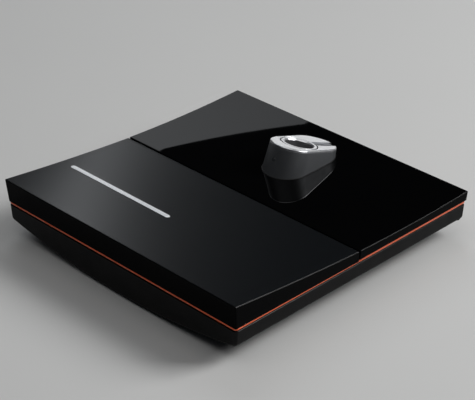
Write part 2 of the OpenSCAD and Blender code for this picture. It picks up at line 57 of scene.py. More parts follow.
S = box_mm("mid_frame")[0][2] + 1.5            # height of the seam above the resting surface
HW = box_mm("lower_cover")[1][0]               # half width of the face
FRONT = box_mm("lower_cover")[1][2] - S        # satin cover's height at the lower edge
BELLY = S - box_mm("rear_housing")[0][2]       # depth of the belly below the seam
GAP0 = box_mm("divider_strip")[0][1]
GAP1 = box_mm("divider_strip")[1][1]
UPPER = box_mm("upper_cover")[1][2] - S
MID = 10.9
SEAM = 148.5
SAG_L, SAG_U, LEAN, COVER_T = 1.0, 1.7, 0.064, 2.6
BELLY_R, WALL = 710.0, 2.6
LENS_Y, LENS_Z, TILT = 82.7, 29.7, math.radians(18)
NOSE_R, CY0, CY1 = 21.8, -8.7, 22.7
PLATE_T, HOLE_R, RING_R = 1.7, 18.5, 17.4
FLARE = math.tan(math.radians(3))


def lower_face(y):
    t = (y + HW) / HW
    return FRONT + (MID - FRONT) * t - 4 * SAG_L * t * (1 - t)


def upper_face(y):
    t = y / HW
    return UPPER - 4 * SAG_U * t * (1 - t)


def belly(x):
    return -BELLY + BELLY_R - math.sqrt(BELLY_R * BELLY_R - x * x)


def cam_point(x, y, z):
    """A point of the camera's own frame (origin on the top plate at the lens axis) in seam coordinates."""
    c, s = math.cos(TILT), math.sin(TILT)
    return (x, LENS_Y + y * c + z * s, LENS_Z - y * s + z * c)


# ---------------------------------------------------------------- materials
def nodes_of(mat):
    mat.use_nodes = True
    nt = mat.node_tree
    nt.nodes.clear()
    out = nt.nodes.new("ShaderNodeOutputMaterial")
    bsdf = nt.nodes.new("ShaderNodeBsdfPrincipled")
    nt.links.new(bsdf.outputs[0], out.inputs[0])
    return nt, bsdf


def make_mat(name, base, rough, metal=0.0, vary=0.12, scale=60.0, rough_vary=0.05, rough_scale=40.0,
             bump=0.0, bump_scale=900.0, bump_dist=0.0002, stretch=(1, 1, 1), tint=None, coat=0.0,
             coat_rough=0.05, ior=1.5, spec=0.5, transmission=0.0, alpha=1.0, emission=None, speck=None,
             sheen=0.0, detail=4.0):
    mat = bpy.data.materials.new(name)
    nt, b = nodes_of(mat)
    N, L = nt.nodes.new, nt.links.new
    tc = N("ShaderNodeTexCoord")
    mp = N("ShaderNodeMapping")
    mp.inputs["Scale"].default_value = stretch
    L(tc.outputs["Object"], mp.inputs["Vector"])
    n1 = N("ShaderNodeTexNoise")
    n1.inputs["Scale"].default_value = scale
    n1.inputs["Detail"].default_value = detail
    n1.inputs["Roughness"].default_value = 0.55
    L(mp.outputs[0], n1.inputs["Vector"])
    ramp = N("ShaderNodeValToRGB")
    lo = [max(0.0, c * (1 - vary)) for c in base]
    hi = [min(1.0, c * (1 + vary)) for c in (tint or base)]
    ramp.color_ramp.elements[0].position = 0.3
    ramp.color_ramp.elements[1].position = 0.7
    ramp.color_ramp.elements[0].color = (*lo, 1)
    ramp.color_ramp.elements[1].color = (*hi, 1)
    L(n1.outputs["Fac"], ramp.inputs["Fac"])
    colour = ramp.outputs["Color"]
    if speck:
        vo = N("ShaderNodeTexVoronoi")
        vo.inputs["Scale"].default_value = speck[1]
        L(tc.outputs["Object"], vo.inputs["Vector"])
        r2 = N("ShaderNodeValToRGB")
        r2.color_ramp.elements[0].position = 0.0
        r2.color_ramp.elements[1].position = speck[2]
        r2.color_ramp.elements[0].color = (1, 1, 1, 1)
        r2.color_ramp.elements[1].color = (0, 0, 0, 1)
        L(vo.outputs["Distance"], r2.inputs["Fac"])
        mx = N("ShaderNodeMix")
        mx.data_type = "RGBA"
        L(r2.outputs["Color"], mx.inputs["Factor"])
        L(colour, mx.inputs["A"])
        mx.inputs["B"].default_value = (*speck[0], 1)
        colour = mx.outputs["Result"]
    L(colour, b.inputs["Base Color"])
    n2 = N("ShaderNodeTexNoise")
    n2.inputs["Scale"].default_value = rough_scale
    n2.inputs["Detail"].default_value = 3.0
    L(mp.outputs[0], n2.inputs["Vector"])
    mr = N("ShaderNodeMapRange")
    mr.inputs["From Min"].default_value = 0.3
    mr.inputs["From Max"].default_value = 0.7
    mr.inputs["To Min"].default_value = max(0.0, rough - rough_vary)
    mr.inputs["To Max"].default_value = min(1.0, rough + rough_vary)
    L(n2.outputs["Fac"], mr.inputs["Value"])
    L(mr.outputs["Result"], b.inputs["Roughness"])
    if bump:
        n3 = N("ShaderNodeTexNoise")
        n3.inputs["Scale"].default_value = bump_scale
        n3.inputs["Detail"].default_value = 2.0
        L(mp.outputs[0], n3.inputs["Vector"])
        bm_ = N("ShaderNodeBump")
        bm_.inputs["Strength"].default_value = bump
        bm_.inputs["Distance"].default_value = bump_dist
        L(n3.outputs["Fac"], bm_.inputs["Height"])
        L(bm_.outputs["Normal"], b.inputs["Normal"])
    b.inputs["Metallic"].default_value = metal
    b.inputs["IOR"].default_value = ior
    b.inputs["Specular IOR Level"].default_value = spec
    b.inputs["Coat Weight"].default_value = coat
    b.inputs["Coat Roughness"].default_value = coat_rough
    b.inputs["Transmission Weight"].default_value = transmission
    b.inputs["Alpha"].default_value = alpha
    b.inputs["Sheen Weight"].default_value = sheen
    if emission:
        b.inputs["Emission Color"].default_value = (*emission[0], 1)
        b.inputs["Emission Strength"].default_value = emission[1]
    return mat


M = {
    "satin_cover": make_mat("satin_slate", (0.0030, 0.0037, 0.0045), 0.14, vary=0.05, scale=14, rough_vary=0.004,
                            rough_scale=10, spec=0.38),
    # cover walls: a darker copy of the satin finish with almost no reflection, painted shade on the upright faces of
    # both covers
    "cover_wall_painted_shade": make_mat("cover_wall_painted_shade", (0.0018, 0.0019, 0.0021), 0.26, vary=0.08, scale=20, rough_vary=0.01,
                           rough_scale=14, spec=0.015),
    "cover_edge": make_mat("cover_edge", (0.0030, 0.0032, 0.0036), 0.22, vary=0.08, scale=20, rough_vary=0.01,
                           rough_scale=14, spec=0.24),
    "gloss_edge": make_mat("gloss_edge", (0.0020, 0.0020, 0.0022), 0.19, vary=0.08, scale=20, rough_vary=0.01,
                           rough_scale=14, spec=0.36),
    "gloss_cover": make_mat("gloss_black", (0.0009, 0.0009, 0.0010), 0.012, vary=0.10, scale=8, rough_vary=0.004,
                            rough_scale=6, coat=0.0, spec=0.078),
    "shell_black": make_mat("moulded_black", (0.0030, 0.0031, 0.0034), 0.46, spec=0.10, vary=0.10, scale=50, rough_vary=0.04,
                            rough_scale=70, bump=0.28, bump_scale=1500, bump_dist=0.00015),
    "joint_black": make_mat("joint_black", (0.004, 0.004, 0.004), 0.6, vary=0.2, scale=120, bump=0.2, bump_scale=1500),
    "accent_orange": make_mat("accent_orange", (0.86, 0.125, 0.030), 0.30, vary=0.05, scale=35, rough_vary=0.05,
                              rough_scale=90, bump=0.06, bump_scale=1800, bump_dist=0.00006, coat=0.25, coat_rough=0.12),
    "camera_grey": make_mat("camera_grey", (0.185, 0.192, 0.202), 0.44, metal=0.65, vary=0.04, scale=70, rough_vary=0.03,
                            rough_scale=160, bump=0.08, bump_scale=3000, bump_dist=0.00005),
    "silver": make_mat("brushed_silver", (0.83, 0.84, 0.86), 0.30, metal=1.0, vary=0.03, scale=160, rough_vary=0.02,
                       rough_scale=260, bump=0.02, bump_scale=2400, bump_dist=0.00003, stretch=(0.08, 1, 1)),
    "turned": make_mat("turned_silver", (0.78, 0.79, 0.81), 0.30, metal=1.0, vary=0.03, scale=250, rough_vary=0.03,
                       rough_scale=400, bump=0.02, bump_scale=2400, bump_dist=0.00003),
    # ring bore: a darker, duller copy of the turned finish, painted shade inside the lens ring
    "ring_bore_painted_shade": make_mat("ring_bore_painted_shade", (0.34, 0.34, 0.35), 0.40, metal=0.8, vary=0.05, scale=250, rough_vary=0.03,
                          rough_scale=400),
    "bright_inlay": make_mat("bright_inlay", (0.86, 0.87, 0.88), 0.34, metal=0.85, vary=0.04, scale=300, rough_vary=0.06,
                             rough_scale=500, bump=0.08, bump_scale=900, bump_dist=0.00003, stretch=(0.05, 1, 1)),
    "lens_black": make_mat("lens_black", (0.006, 0.006, 0.007), 0.42, vary=0.15, scale=150, bump=0.2, bump_scale=1600,
                           bump_dist=0.0001),
    "optic": make_mat("coated_lens", (0.006, 0.008, 0.016), 0.03, vary=0.5, scale=45, tint=(0.012, 0.010, 0.030),
                      rough_vary=0.01, coat=0.35, coat_rough=0.02, ior=1.5, spec=0.5),
    "rubber": make_mat("rubber", (0.010, 0.010, 0.0105), 0.68, vary=0.15, scale=90, rough_vary=0.08, rough_scale=120,
                       bump=0.35, bump_scale=1300, bump_dist=0.0002, spec=0.3),
    "frame_metal": make_mat("frame_metal", (0.50, 0.51, 0.52), 0.46, metal=1.0, vary=0.06, scale=120, rough_vary=0.05,
                            rough_scale=240, bump=0.3, bump_scale=2200, bump_dist=0.0001),
    "shield_tin": make_mat("shield_tin", (0.62, 0.63, 0.64), 0.33, metal=1.0, vary=0.06, scale=80, rough_vary=0.08,
                           rough_scale=60, bump=0.1, bump_scale=700),
    "steel": make_mat("zinc_steel", (0.42, 0.43, 0.44), 0.35, metal=1.0, vary=0.08, scale=400, rough_vary=0.07,
                      rough_scale=600, bump=0.08, bump_scale=1500, bump_dist=0.00005),
    "board_green": make_mat("solder_mask", (0.016, 0.095, 0.042), 0.38, vary=0.25, scale=260, rough_vary=0.06,
                            rough_scale=300, bump=0.2, bump_scale=900, speck=((0.10, 0.17, 0.09), 700, 0.10)),
    "copper": make_mat("gilded_copper", (0.80, 0.45, 0.22), 0.30, metal=1.0, vary=0.06, scale=200, bump=0.05),
    "flex_amber": make_mat("flex_amber", (0.50, 0.24, 0.05), 0.35, vary=0.15, scale=300, stretch=(4, 0.2, 0.2), bump=0.05),
    "foam": make_mat("foam", (0.028, 0.028, 0.03), 0.85, vary=0.3, scale=800, bump=0.8, bump_scale=1200, bump_dist=0.0004),
    "battery_wrap": make_mat("battery_wrap", (0.016, 0.06, 0.21), 0.28, vary=0.12, scale=60, rough_vary=0.06, bump=0.12,
                             bump_scale=120, bump_dist=0.0003),
    "lead_red": make_mat("lead_red", (0.36, 0.018, 0.016), 0.45, vary=0.12, scale=200, bump=0.1),
    "thermal_grey": make_mat("thermal_grey", (0.18, 0.24, 0.32), 0.7, vary=0.15, scale=400, bump=0.3),
    "light_pipe": make_mat("light_pipe", (0.72, 0.77, 0.80), 0.32, vary=0.06, scale=120, rough_vary=0.08, bump=0.08,
                           bump_scale=700, emission=((0.75, 0.9, 1.0), 0.12)),
    "brass": make_mat("turned_brass", (0.60, 0.42, 0.18), 0.28, metal=1.0, vary=0.08, scale=500, rough_vary=0.07, bump=0.08,
                      bump_scale=1500),
}


# ---------------------------------------------------------------- mesh helpers
def new_object(name, verts, faces, shift=True):
    """A mesh object from points in seam coordinates, in millimetres."""
    me = bpy.data.meshes.new(name)
    dz = S if shift else 0.0
    me.from_pydata([(x * MM, y * MM, (z + dz) * MM) for x, y, z in verts], [], faces)
    bm = bmesh.new()
    bm.from_mesh(me)
    bmesh.ops.remove_doubles(bm, verts=bm.verts, dist=2e-8)
    bmesh.ops.recalc_face_normals(bm, faces=bm.faces)
    bm.to_mesh(me)
    bm.free()
    ob = bpy.data.objects.new(name, me)
    scene.collection.objects.link(ob)
    return ob


def boolean(ob, tools, op):
    """Applies a boolean of ob with each of the tools in turn; the tools are removed."""
    for tool in tools:
        m = ob.modifiers.new("cut", "BOOLEAN")
        m.operation = op
        m.solver = "EXACT"
        m.object = tool
        dg = bpy.context.evaluated_depsgraph_get()
        me = bpy.data.meshes.new_from_object(ob.evaluated_get(dg))
        ob.modifiers.remove(m)
        old = ob.data
        ob.data = me
        bpy.data.meshes.remove(old)
        bpy.data.objects.remove(tool)
    return ob


def dress(ob, material, body="unit", stands_for=(), angle=30.0, weighted=True):
    me = ob.data
    me.materials.clear()
    me.materials.append(material)
    for p in me.polygons:
        p.use_smooth = True
        p.material_index = 0
    me.set_sharp_from_angle(angle=math.radians(angle))
    if weighted:
        m = ob.modifiers.new("normals", "WEIGHTED_NORMAL")
        m.keep_sharp = True
        m.weight = 60
    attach(ob, body)
    if stands_for:
        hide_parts(*stands_for)
    return ob


def paint_wall_shade_and_edges(ob, material, edge, limit=0.3):
    """The upright faces of a piece get a darker, weakly reflecting copy of the face finish, a painted shade on the
    walls; faces leaning between upright and flat get the edge finish.
    """
    ob.data.materials.append(material)
    ob.data.materials.append(edge)
    for p in ob.data.polygons:
        if abs(p.normal.z) < limit:
            p.material_index = 1
        elif 0.45 < p.normal.z < 0.85:
            p.material_index = 2


def bridge(a, b, n, faces):
    """Quads between two closed loops of n points that start at indices a and b."""
    for i in range(n):
        j = (i + 1) % n
        faces.append((a + i, a + j, b + j, b + i))


def loops_object(name, loops, closed=True, caps=(False, False), shift=True):
    """A surface through loops of equal length; closed joins the last loop to the first, caps fill the ends."""
    n = len(loops[0])
    verts = [p for l in loops for p in l]
    faces = []
    for k in range(len(loops) - 1):
        bridge(k * n, (k + 1) * n, n, faces)
    if closed:
        bridge((len(loops) - 1) * n, 0, n, faces)
    if caps[0]:
        faces.append(tuple(reversed(range(n))))
    if caps[1]:
        faces.append(tuple(range((len(loops) - 1) * n, len(loops) * n)))
    return new_object(name, verts, faces, shift)


def arc(steps):
    """(1 - sin, 1 - cos) along a quarter turn: how far in and how far down a rounded edge is."""
    return [(1 - math.sin(math.pi / 2 * i / steps), 1 - math.cos(math.pi / 2 * i / steps)) for i in range(steps + 1)]


def cylinder_tool(r, p0, p1, n=64):
    p0, p1 = Vector(p0), Vector(p1)
    d = (p1 - p0).normalized()
    u = d.orthogonal().normalized()
    v = d.cross(u)
    loops = []
    for c in (p0, p1):
        loops.append([tuple(c + (u * math.cos(2 * math.pi * i / n) + v * math.sin(2 * math.pi * i / n)) * r) for i in range(n)])
    return loops_object("tool", loops, closed=False, caps=(True, True))


def stepped_tool(x, y, steps, n=48):
    """A stack of coaxial cylinders along Z, from (radius, z) pairs."""
    loops = []
    for r, z in steps:
        loops.append([(x + r * math.cos(2 * math.pi * i / n), y + r * math.sin(2 * math.pi * i / n), z) for i in range(n)])
    return loops_object("tool", loops, closed=False, caps=(True, True))


def prism_tool(x0, x1, y0, y1, z0, z1, r=1.0, steps=5):
    """A box with rounded upright edges."""
    pts = []
    for cx, cy, a0 in ((x1 - r, y1 - r, 0), (x0 + r, y1 - r, 90), (x0 + r, y0 + r, 180), (x1 - r, y0 + r, 270)):
        for i in range(steps + 1):
            a = math.radians(a0 + 90 * i / steps)
            pts.append((cx + r * math.cos(a), cy + r * math.sin(a)))
    return loops_object("tool", [[(x, y, z) for x, y in pts] for z in (z0, z1)], closed=False, caps=(True, True))


# A slab outline: a grid's four sides with the same nodes on every ring, and an arc at each corner.
class Slab:
    def __init__(self, a, y0, y1, nx, ny, arc_steps=6):
        self.a, self.y0, self.y1, self.nx, self.ny, self.m = a, y0, y1, nx, ny, arc_steps
        self.verts, self.faces, self.n = [], [], 2 * (nx + 1) + 2 * (ny + 1) + 4 * (arc_steps - 1)

    def ring(self, radii, move):
        """radii: corner radii at (-,-), (+,-), (+,+), (-,+). move(x, y, nx, ny) gives the point."""
        a, y0, y1, m = self.a, self.y0, self.y1, self.m
        r00, r10, r11, r01 = radii
        pts = []

        def corner(cx, cy, r, a0):
            for i in range(1, m):
                t = math.radians(a0 + 90 * i / m)
                pts.append((cx + r * math.cos(t), cy + r * math.sin(t), math.cos(t), math.sin(t)))

        def side(p, q, n, nrm):
            for i in range(n + 1):
                t = i / n
                pts.append((p[0] + (q[0] - p[0]) * t, p[1] + (q[1] - p[1]) * t, *nrm))

        side((-a + r00, y0), (a - r10, y0), self.nx, (0, -1))
        corner(a - r10, y0 + r10, r10, -90)
        side((a, y0 + r10), (a, y1 - r11), self.ny, (1, 0))
        corner(a - r11, y1 - r11, r11, 0)
        side((a - r11, y1), (-a + r01, y1), self.nx, (0, 1))
        corner(-a + r01, y1 - r01, r01, 90)
        side((-a, y1 - r01), (-a, y0 + r00), self.ny, (-1, 0))
        corner(-a + r00, y0 + r00, r00, 180)
        start = len(self.verts)
        self.verts.extend(move(*p) for p in pts)
        return start

    def grid(self, inset, zf, flip=False):
        """A grid over the inside of the slab. Returns the indices of its boundary, laid out as ring() lays out its sides."""
        nx, ny = self.nx, self.ny
        start = len(self.verts)
        x0, x1, y0, y1 = -self.a + inset, self.a - inset, self.y0 + inset, self.y1 - inset
        for j in range(ny + 1):
            for i in range(nx + 1):
                x, y = x0 + (x1 - x0) * i / nx, y0 + (y1 - y0) * j / ny
                self.verts.append((x, y, zf(x, y)))
        at = lambda i, j: start + j * (nx + 1) + i
        for j in range(ny):
            for i in range(nx):
                self.faces.append((at(i, j), at(i + 1, j), at(i + 1, j + 1), at(i, j + 1)))
        sides = ([at(i, 0) for i in range(nx + 1)], [at(nx, j) for j in range(ny + 1)],
                 [at(i, ny) for i in range(nx, -1, -1)], [at(0, j) for j in range(ny, -1, -1)])
        return sides

    def stitch(self, sides, ring):
        """Joins a grid's boundary to a ring."""
        k = ring
        for s in range(4):
            nodes = sides[s]
            for i in range(len(nodes) - 1):
                self.faces.append((nodes[i], nodes[i + 1], k + i + 1, k + i))
            corner = nodes[-1]
            base = k + len(nodes) - 1
            for i in range(self.m):
                nxt = base + i + 1
                if nxt >= ring + self.n:
                    nxt = ring
                self.faces.append((corner, base + i, nxt))
            k += len(nodes) + self.m - 1

    def join(self, r1, r2):
        bridge(r1, r2, self.n, self.faces)


# ---------------------------------------------------------------- camera and light
cam = bpy.data.cameras.new("view")
cam_ob = bpy.data.objects.new("view", cam)
scene.collection.objects.link(cam_ob)
cam_ob.location = (0.92213693, -0.91391109, 0.74282871 + S * MM)
cam_ob.rotation_mode = "QUATERNION"
cam_ob.rotation_quaternion = Quaternion((0.79855864, 0.46331627, 0.19338318, 0.33203174))
cam.sensor_width = 36.0
cam.lens = 1624.831 / 475 * 36.0
cam.clip_start, cam.clip_end = 0.05, 50
cam.dof.use_dof = False
scene.camera = cam_ob

world = bpy.data.worlds.new("studio")
scene.world = world
world.use_nodes = True
world.node_tree.nodes["Background"].inputs[0].default_value = (0.80, 0.88, 1.0, 1)
world.node_tree.nodes["Background"].inputs[1].default_value = 0.02


def area(name, az, el, dist, w, h, power, target=(0, 0, 0.05), colour=(1, 1, 1), spread=None):
    """A soft box seen from the object at that azimuth (anticlockwise from +X) and elevation."""
    a, e = math.radians(az), math.radians(el)
    d = Vector((math.cos(a) * math.cos(e), math.sin(a) * math.cos(e), math.sin(e)))
    li = bpy.data.lights.new(name, "AREA")
    li.shape = "RECTANGLE"
    li.size, li.size_y = w, h
    li.energy = power
    li.color = colour
    if spread is not None:
        li.spread = math.radians(spread)
    ob = bpy.data.objects.new(name, li)
    scene.collection.objects.link(ob)
    ob.location = Vector(target) + d * dist
    ob.rotation_mode = "QUATERNION"
    ob.rotation_quaternion = d.to_track_quat("Z", "Y")
    return ob


P_HI, P_LO = (-50.3, 149.4, 11.2), (-105.4, 4.8, 11.0)      # where that edge crosses the gloss cover


def radiance_power(w, h, radiance):
    """Power of a rectangular area light whose surface shows that radiance."""
    return radiance * w * h * math.pi * 1.0


def direction(az, el):
    a, e = math.radians(az), math.radians(el)
    return Vector((math.cos(a) * math.cos(e), math.sin(a) * math.cos(e), math.sin(e)))


def edge_softbox(name, p_hi, dir_hi, p_lo, dir_lo, dist, width, below, above, radiance, colour):
    """A soft box whose right edge is mirrored by the gloss cover along the line between two of its points."""
    q_hi, q_lo = Vector(p_hi) + direction(*dir_hi) * dist, Vector(p_lo) + direction(*dir_lo) * dist
    up = (q_hi - q_lo).normalized()
    to_obj = (Vector(p_hi) + Vector(p_lo)) / 2 - (q_hi + q_lo) / 2
    normal = (to_obj - up * to_obj.dot(up)).normalized()
    left = up.cross(normal)
    if left.dot(direction(dir_lo[0] + 20, dir_lo[1])) < left.dot(direction(*dir_lo)):
        left = -left
    h = (q_hi - q_lo).length + below + above
    centre = q_lo - up * below + up * (h / 2) + left * (width / 2)
    li = bpy.data.lights.new(name, "AREA")
    li.shape = "RECTANGLE"
    li.size, li.size_y = width, h
    li.energy = radiance_power(width, h, radiance)
    li.color = colour
    ob = bpy.data.objects.new(name, li)
    scene.collection.objects.link(ob)
    z = -normal                                    # an area light shines along its own -Z
    x = up.cross(z).normalized()
    rot = Matrix((x, up, z)).transposed()          # columns: the light's own X, Y and Z axes
    if rot.determinant() < 0:
        rot = Matrix((-x, up, z)).transposed()
    ob.location = centre
    ob.rotation_mode = "QUATERNION"
    ob.rotation_quaternion = rot.to_quaternion()
    return ob


edge_softbox("softbox_back_left", (P_HI[0] * MM, P_HI[1] * MM, (P_HI[2] + S) * MM), (134.33, 30.58),
             (P_LO[0] * MM, P_LO[1] * MM, (P_LO[2] + S) * MM), (136.46, 24.76), 3.0, 1.7, 0.20, 1.3, 1.48, (0.94, 0.97, 1.0))
area("card_low", 128, 2.0, 2.6, 1.8, 0.34, radiance_power(1.8, 0.34, 1.6))
area("key_right", 47, 38, 2.6, 1.2, 1.2, radiance_power(1.2, 1.2, 10.5))
area("softbox_top", -80, 78, 2.6, 2.4, 2.4, radiance_power(2.4, 2.4, 0.85))

# ---------------------------------------------------------------- floor
fl = bpy.data.meshes.new("floor")
n_f, half = 12, 5.0
fl.from_pydata([(-half + 2 * half * i / n_f, -half + 2 * half * j / n_f, -0.0004) for j in range(n_f + 1) for i in range(n_f + 1)], [],
               [(j * (n_f + 1) + i, j * (n_f + 1) + i + 1, (j + 1) * (n_f + 1) + i + 1, (j + 1) * (n_f + 1) + i)
                for j in range(n_f) for i in range(n_f)])
floor = bpy.data.objects.new("floor", fl)
scene.collection.objects.link(floor)
fl.materials.append(make_mat("floor_pale", (0.70, 0.70, 0.69), 0.75, vary=0.015, scale=1.5, rough_vary=0.05, rough_scale=4,
                             bump=0.03, bump_scale=300, bump_dist=0.0002, spec=0.2))

# ---------------------------------------------------------------- front covers
E = 0.56         # broken top edges of the covers: (inset, drop) in mm, a narrow facet with soft ends
EDGE_STEPS = ((0.50, 0.035), (0.06, 0.575), (0.0, 0.66))


def cover(name, y0, y1, face, rim, lean_to, top_r, low_r, nx, ny):
    """A front cover: curved face, rounded top edge, leaning walls, lower lip and the hollow inside.
    lean_to: lean of the -Y, +X, +Y and -X walls. top_r, low_r: corner radii at the top edge and at the rim."""
    sl = Slab(HW, y0, y1, nx, ny)
    ly0, lx, ly1 = lean_to[0], lean_to[1], lean_to[2]
    deep = max(face(y0), face(y1)) - rim

    def ring(off, depth_of, radius_t, z_of):
        def move(x, y, nxx, nyy):
            f = face(min(max(y, y0), y1))
            z = z_of(f)
            d = f - z
            ky = ly0 if nyy < 0 else ly1
            px = x - nxx * (off + lx * d)
            py = y - nyy * (off + ky * d)
            return (px, py, z_of(face(min(max(py, y0), y1))))
        rr = [top_r[i] + (low_r[i] - top_r[i]) * radius_t for i in range(4)]
        return sl.ring(rr, move)

    top = sl.grid(3.0, lambda x, y: face(y))
    prev = ring(E, None, 0, lambda f: f)
    sl.stitch(top, prev)
    for inset, drop in EDGE_STEPS:
        cur = ring(inset, None, 0, lambda f, drop=drop: f - drop)
        sl.join(prev, cur)
        prev = cur
    for k in range(1, 9):
        t = k / 8
        cur = ring(0, None, t, lambda f, t=t: (f - 0.66) + (rim + 0.35 - f + 0.66) * t)
        sl.join(prev, cur)
        prev = cur
    for i in range(1, 5):
        a = math.pi / 2 * i / 4
        cur = ring(0.35 * (1 - math.cos(a)), None, 1, lambda f, a=a: rim + 0.35 * (1 - math.sin(a)))
        sl.join(prev, cur)
        prev = cur
    for off, zf in ((2.6, lambda f: rim), (2.6, lambda f: f - COVER_T)):
        cur = ring(off, None, 1, zf)
        sl.join(prev, cur)
        prev = cur
    under = sl.grid(8.0, lambda x, y: face(y) - COVER_T)
    sl.stitch(under, prev)
    return new_object(name, sl.verts, sl.faces)


lower = cover("lower_cover_shell", -HW, GAP0, lower_face, 0.4, (LEAN, LEAN, 0.0), (0.7, 0.7, 0.45, 0.45), (2.6, 2.6, 0.45, 0.45), 60, 34)
upper = cover("upper_cover_shell", GAP1, HW, upper_face, 1.5, (0.0, LEAN, LEAN), (0.45, 0.45, 0.7, 0.7), (0.45, 0.45, 1.4, 1.4), 60, 34)


def obround_points(r, half, n_arc=24, n_side=2):
    """Outline of a round-ended bar along X: (x, y, nx, ny)."""
    pts = []
    for cx, a0 in ((half, -90), (-half, 90)):
        for i in range(n_arc + 1):
            a = math.radians(a0 + 180 * i / n_arc)
            pts.append((cx + r * math.cos(a), r * math.sin(a), math.cos(a), math.sin(a)))
    return pts


def surface_bar(name, cx, cy, r, half, top, bottom, face, e):
    """A round-ended bar that follows the face: rounded at its top edge."""
    base = obround_points(r, half)
    loops = []
    loops.append([(cx + x - nx * r * 0.55, cy + y - ny * r * 0.55, face(cy + y - ny * r * 0.55) + top) for x, y, nx, ny in base])
    for inn, down in arc(4):
        loops.append([(cx + x - nx * e * inn, cy + y - ny * e * inn, face(cy + y) + top - e * down) for x, y, nx, ny in base])
    loops.append([(cx + x, cy + y, face(cy + y) + bottom) for x, y, nx, ny in base])
    return loops_object(name, loops, closed=False, caps=(True, True))


# the pocket for the inlay, then the inlay itself
pocket = surface_bar("tool", -68.5, -83, 2.72, 64.5, 3.0, -1.0, lower_face, 0.01)
boolean(lower, [pocket], "DIFFERENCE")
dress(lower, M["satin_cover"], stands_for=["lower_cover"])
paint_wall_shade_and_edges(lower, M["cover_wall_painted_shade"], M["cover_edge"])
inlay = surface_bar("badge_bar_inlay", -68.5, -83, 2.6, 64.5, 0.3, -0.98, lower_face, 0.22)
dress(inlay, M["bright_inlay"], stands_for=["badge_bar"])

boolean(upper, [cylinder_tool(17.0, cam_point(0, 0, -60), cam_point(0, 0, 4), 96)], "DIFFERENCE")
dress(upper, M["gloss_cover"], stands_for=["upper_cover"])
paint_wall_shade_and_edges(upper, M["cover_wall_painted_shade"], M["gloss_edge"])


# ---------------------------------------------------------------- accent band
CR = 3.2         # corner radius at the seam


def corners(radius):
    """Radii at the four corners, (-X, -Y) first: the corner on the gloss side at +X is the tightest."""
    return [radius, radius, radius - 1.7, radius]


def sweep_band(name, profile, steps=8):
    """A closed profile of (inset, z) swept round the seam's rounded square."""
    sl = Slab(SEAM, -SEAM, SEAM, 30, 30, steps)
    rings = []
    for inset, z, radius in profile:
        rings.append(sl.ring(corners(radius), lambda x, y, nx, ny, inset=inset, z=z: (x - nx * inset, y - ny * inset, z(x, y) if callable(z) else z)))
    for k in range(len(rings)):
        sl.join(rings[k], rings[(k + 1) % len(rings)])
    return new_object(name, sl.verts, sl.faces)


def band_top(x, y):
    t = min(max((y - (GAP1 - 0.3)) / 0.6, 0.0), 1.0)
    return 0.4 + 1.08 * t


band_profile = []
for i in range(7):                                   # bulged outer face
    t = i / 6
    band_profile.append((0.25 * (2 * t - 1) ** 2, (lambda x, y, t=t: -1.5 + 0.12 + (band_top(x, y) - 0.12 - (-1.5 + 0.12)) * t), CR))
band_profile += [(0.5, lambda x, y: band_top(x, y), CR), (5.1, lambda x, y: band_top(x, y), 5.2), (5.1, -2.9, 5.2),
                 (3.4, -2.9, 4.4), (3.4, -1.5, 4.4), (0.5, -1.5, CR)]
band = sweep_band("accent_band_ring", band_profile)
dress(band, M["accent_orange"], stands_for=["accent_band"], angle=40)

# ---------------------------------------------------------------- rear housing
RB = 3.6         # rounding where the belly meets the walls
sl = Slab(SEAM, -SEAM, SEAM, 72, 40, 8)
LX, LY = 1.3 / 14.8, 1.6 / 35.6


def shell_ring(off, z_of, radius=CR):
    def move(x, y, nx, ny):
        bx = belly(min(max(x - nx * off, -147.5), 147.5))
        z = z_of(bx)
        d = max(0.0, -2.4 - z)
        return (x - nx * (off + LX * d), y - ny * (off + LY * d), z)
    return sl.ring(corners(radius), move)


bottom = sl.grid(12.0, lambda x, y: belly(x))
prev = shell_ring(RB, lambda b: b, 4.6)
sl.stitch(bottom, prev)
for inn, down in arc(7)[1:]:
    cur = shell_ring(RB * inn, lambda b, down=down: b + RB * down, 4.6 - (4.6 - CR) * down)
    sl.join(prev, cur)
    prev = cur
for k in range(1, 6):
    cur = shell_ring(0, lambda b, t=k / 5: (b + RB) + (-3.0 - b - RB) * t)
    sl.join(prev, cur)
    prev = cur
for off, z in ((0.05, -2.94), (0.45, -2.46), (0.52, -2.42), (1.5, -2.42), (1.5, -1.5), (2.9, -1.5)):    # broken edge, shadow groove
    cur = shell_ring(off, lambda b, z=z: z)
    sl.join(prev, cur)
    prev = cur
cur = shell_ring(2.9, lambda b: b + WALL + 2)
sl.join(prev, cur)
prev = cur
floor_in = sl.grid(16.0, lambda x, y: belly(x) + WALL)
sl.stitch(floor_in, prev)
housing = new_object("rear_housing_shell", sl.verts, sl.faces)

SCREWS = [(134, 110), (134, 0), (134, -110), (-134, 110), (-134, 0), (-134, -110), (70, 138.5), (-70, 138.5), (70, -138.5), (-70, -138.5)]
adds = [prism_tool(-52.7, 52.7, -129.8, -17.8, -33.2, -24.0, 2.0)]
adds += [prism_tool(-17, 17, -139.6, -128, -33.4, -25, 1.5)]
adds += [cylinder_tool(4.5, (x, y, belly(x) + 1.0), (x, y, -1.55), 40) for x, y in SCREWS]
adds += [cylinder_tool(4.0, (x, y, belly(x) + 1.0), (x, y, -10.0), 32) for x, y in ((-92, 22), (-92, 122), (92, 22), (92, 122), (0, 22), (0, 123))]
adds += [cylinder_tool(10.0, (0, 40, -33.4), (0, 40, -20), 56)]
adds += [prism_tool(-147.2, -142.6, 21, 99, -18.4, -3.0, 0.6)]
boolean(housing, adds, "UNION")
cuts = [prism_tool(-50.1, 50.1, -127.2, -20.4, -45, -26.4, 1.0)]
cuts += [cylinder_tool(10.0, (-14, -127, -37), (14, -127, -37), 72)]
